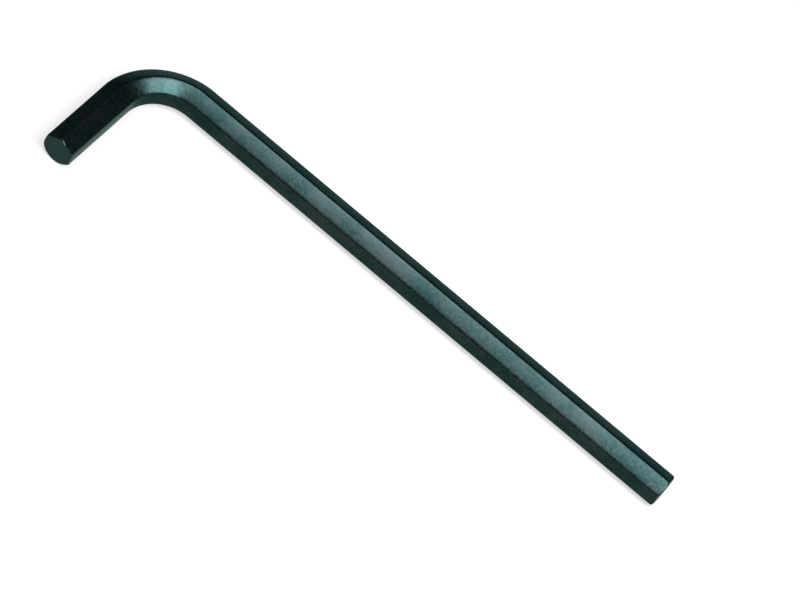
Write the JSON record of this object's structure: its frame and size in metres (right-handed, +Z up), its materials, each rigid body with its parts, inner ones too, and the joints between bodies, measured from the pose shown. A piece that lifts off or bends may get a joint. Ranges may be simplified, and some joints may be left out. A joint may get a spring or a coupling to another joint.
{
  "type": "hex key",
  "caption": "Long-arm hex key: one hexagonal steel bar bent square near one end, with chamfered ends and a black oxide finish.",
  "frame": {"origin": "centre of the long arm's end face, on the bar's centreline", "axes": "+X leaves the long arm's end along the bar, the short arm points along -Y, and +Z is up with the key lying flat"},
  "size_m": [0.2895, 0.073, 0.0158],
  "materials": {
    "black_oxide_steel": "black oxide, lightly oiled"
  },
  "bodies": {
    "root": {"hex_key": "black_oxide_steel"}
  },
  "joints": []
}
